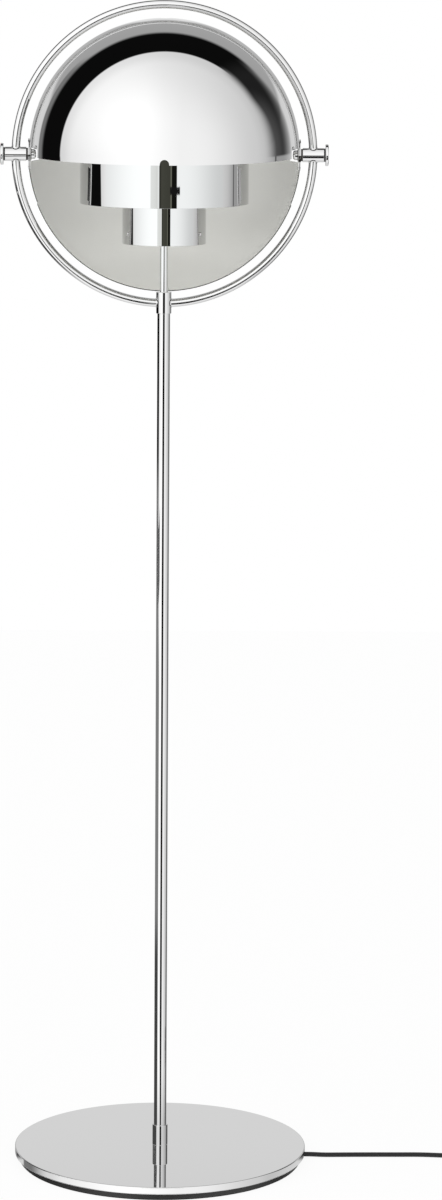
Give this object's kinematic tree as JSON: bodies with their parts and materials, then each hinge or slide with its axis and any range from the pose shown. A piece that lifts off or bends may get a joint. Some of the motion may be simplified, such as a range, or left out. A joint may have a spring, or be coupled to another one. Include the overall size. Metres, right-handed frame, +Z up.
{
  "type": "floor lamp",
  "caption": "Chrome floor lamp: round base, slim pole and a ring that carries two tilting quarter-sphere shades round open cylinders and a bulb, with cord, foot switch and plug.",
  "frame": {"origin": "centre of the base's underside on the floor, under the pole's axis", "axes": "+Z up along the pole; -Y towards the front, which the raised shade covers; +X to the right seen from the front, along the shades' pivot axis and the way the cord leaves the base"},
  "size_m": [0.8039, 0.374, 1.48],
  "materials": {
    "chrome": "mirror polish",
    "white_paint": "satin",
    "zinc_steel": "satin zinc",
    "black_plastic": "fine moulded texture",
    "gloss_black_plastic": "smooth gloss",
    "black_rubber": "matt",
    "black_cord": "woven sleeve",
    "tie_plastic": "smooth",
    "ceramic": "glazed",
    "brass": "polished",
    "bulb_metal": "satin",
    "frosted_glass": "frosted",
    "spring_steel": "bright wire",
    "fibre": "pressed fibre"
  },
  "bodies": {
    "stand": {"base_plate": "chrome", "pole_foot_collar": "chrome", "pole": "chrome", "ring_collar": "chrome", "ring_upper_arc": "chrome", "ring_lower_right_arc": "chrome", "ring_lower_left_arc": "chrome", "right_pivot_sleeve": "chrome", "left_pivot_sleeve": "chrome", "right_pivot_spindle": "chrome", "left_pivot_spindle": "chrome", "stem": "chrome", "small_cylinder": "chrome", "large_cylinder": "chrome", "spider": "white_paint", "cylinder_brackets": "white_paint", "base_washer": "zinc_steel", "base_nut": "zinc_steel", "base_nipple": "zinc_steel", "foot_collar_screw": "zinc_steel", "pole_bottom_bush": "zinc_steel", "pole_top_bush": "zinc_steel", "pole_top_nipple": "zinc_steel", "stem_nuts": "zinc_steel", "spider_screws": "zinc_steel", "base_under_disc": "black_plastic", "cord_strain_relief": "black_plastic", "foot_switch_base": "black_plastic", "foot_switch_cover": "black_plastic", "foot_switch_reliefs": "black_plastic", "plug_relief": "black_plastic", "plug_body": "black_plastic", "holder_cap": "gloss_black_plastic", "holder_shell": "gloss_black_plastic", "base_foot_mat": "black_rubber", "mains_cord": "black_cord", "switch_cord": "black_cord", "cord_coil": "black_cord", "plug_cord": "black_cord", "inner_flex": "black_cord", "coil_tie": "tie_plastic", "holder_insulator": "ceramic", "holder_thread": "brass", "holder_contact": "brass", "plug_pins": "brass", "bulb_cap": "bulb_metal", "bulb_glass": "frosted_glass", "foot_switch_spring": "spring_steel", "right_pivot_washers": "fibre", "left_pivot_washers": "fibre"},
    "upper_shade": {"upper_shade": "chrome"},
    "lower_shade": {"lower_shade": "chrome"},
    "left_knob": {"left_knob": "chrome"},
    "right_knob": {"right_knob": "chrome"},
    "foot_switch_button": {"foot_switch_button": "gloss_black_plastic"}
  },
  "joints": [
    {"name": "upper_shade_tilt", "type": "hinge", "parent": "stand", "child": "upper_shade", "pos_m": [0, 0, 1.2901], "axis": [1, 0, 0], "range_deg": [-181.4, 88.6]},
    {"name": "lower_shade_tilt", "type": "hinge", "parent": "stand", "child": "lower_shade", "pos_m": [0, 0, 1.2901], "axis": [1, 0, 0], "range_deg": [0, 270]},
    {"name": "left_knob_turn", "type": "hinge", "parent": "stand", "child": "left_knob", "pos_m": [-0.1955, 0, 1.2901], "axis": [-1, 0, 0], "range_deg": [0, 90]},
    {"name": "right_knob_turn", "type": "hinge", "parent": "stand", "child": "right_knob", "pos_m": [0.1955, 0, 1.2901], "axis": [1, 0, 0], "range_deg": [0, 90]},
    {"name": "foot_switch_press", "type": "slide", "parent": "stand", "child": "foot_switch_button", "axis": [0, 0, -1], "range_m": [0, 0.0025], "stiffness_N_per_m": 800, "springref_m": -0.001, "deforming": ["foot_switch_spring"]}
  ]
}
